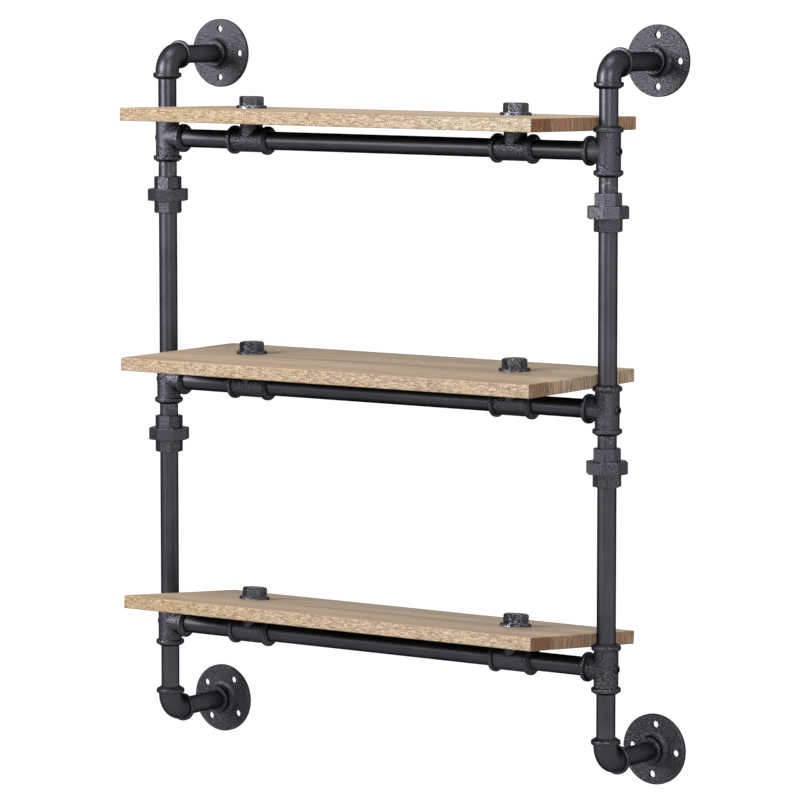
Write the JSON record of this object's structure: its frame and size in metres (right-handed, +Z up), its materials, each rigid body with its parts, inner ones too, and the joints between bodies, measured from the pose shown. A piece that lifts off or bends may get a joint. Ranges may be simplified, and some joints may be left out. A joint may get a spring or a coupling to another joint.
{
  "type": "pipe shelving unit",
  "caption": "Wall-hung shelving unit of black iron pipe and banded fittings with wooden boards clamped across its crossbars by flanged plugs.",
  "frame": {"origin": "in the wall plane, midway between the centres of the four wall flanges", "axes": "+X along the boards to the right as seen from the front, +Y into the wall, +Z up"},
  "size_m": [0.684, 0.2252, 0.8496],
  "materials": {
    "black_pipe": "smooth black steel pipe, thin satin lacquer, faint draw lines",
    "fitting_casting": "black malleable iron casting, fine sand texture, rubbed bands",
    "flange_casting": "grey-black malleable iron casting, sand texture",
    "union_casting": "black malleable iron with machined-looking flats",
    "plug_iron": "near-black iron plug, slightly glossy",
    "black_screw": "black-oxide steel screw",
    "board_wood_top": "weathered light-brown softwood, wiped with a thin grey-brown oil",
    "board_wood_middle": "weathered light-brown softwood, wiped with a thin grey-brown oil",
    "board_wood_bottom": "weathered light-brown softwood, wiped with a thin grey-brown oil"
  },
  "bodies": {
    "root": {"bar_end_nuts": "black_screw", "crossbar_bottom_centre": "black_pipe", "crossbar_bottom_left_end": "black_pipe", "crossbar_bottom_right_end": "black_pipe", "crossbar_middle_centre": "black_pipe", "crossbar_middle_left_end": "black_pipe", "crossbar_middle_right_end": "black_pipe", "crossbar_top_centre": "black_pipe", "crossbar_top_left_end": "black_pipe", "crossbar_top_right_end": "black_pipe", "elbow_bottom_left": "fitting_casting", "elbow_bottom_right": "fitting_casting", "elbow_top_left": "fitting_casting", "elbow_top_right": "fitting_casting", "riser_pipe_bottom_left": "black_pipe", "riser_pipe_bottom_right": "black_pipe", "riser_pipe_top_left": "black_pipe", "riser_pipe_top_right": "black_pipe", "shelf_board_bottom": "board_wood_bottom", "shelf_board_middle": "board_wood_middle", "shelf_board_top": "board_wood_top", "shelf_plugs": "plug_iron", "support_tee_bottom_left": "fitting_casting", "support_tee_bottom_right": "fitting_casting", "support_tee_middle_left": "fitting_casting", "support_tee_middle_right": "fitting_casting", "support_tee_top_left": "fitting_casting", "support_tee_top_right": "fitting_casting", "tee_screws": "black_screw", "union_head_lower_left": "union_casting", "union_head_lower_right": "union_casting", "union_head_upper_left": "union_casting", "union_head_upper_right": "union_casting", "union_nipple_lower_left": "black_pipe", "union_nipple_lower_right": "black_pipe", "union_nipple_upper_left": "black_pipe", "union_nipple_upper_right": "black_pipe", "union_nuts": "union_casting", "union_tail_lower_left": "union_casting", "union_tail_lower_right": "union_casting", "union_tail_upper_left": "union_casting", "union_tail_upper_right": "union_casting", "upright_pipe_lower_left": "black_pipe", "upright_pipe_lower_right": "black_pipe", "upright_pipe_upper_left": "black_pipe", "upright_pipe_upper_right": "black_pipe", "upright_tee_bottom_left": "fitting_casting", "upright_tee_bottom_right": "fitting_casting", "upright_tee_middle_left": "fitting_casting", "upright_tee_middle_right": "fitting_casting", "upright_tee_top_left": "fitting_casting", "upright_tee_top_right": "fitting_casting", "wall_arm_bottom_left": "black_pipe", "wall_arm_bottom_right": "black_pipe", "wall_arm_top_left": "black_pipe", "wall_arm_top_right": "black_pipe", "wall_flange_bottom_left": "flange_casting", "wall_flange_bottom_right": "flange_casting", "wall_flange_top_left": "flange_casting", "wall_flange_top_right": "flange_casting"}
  },
  "joints": []
}
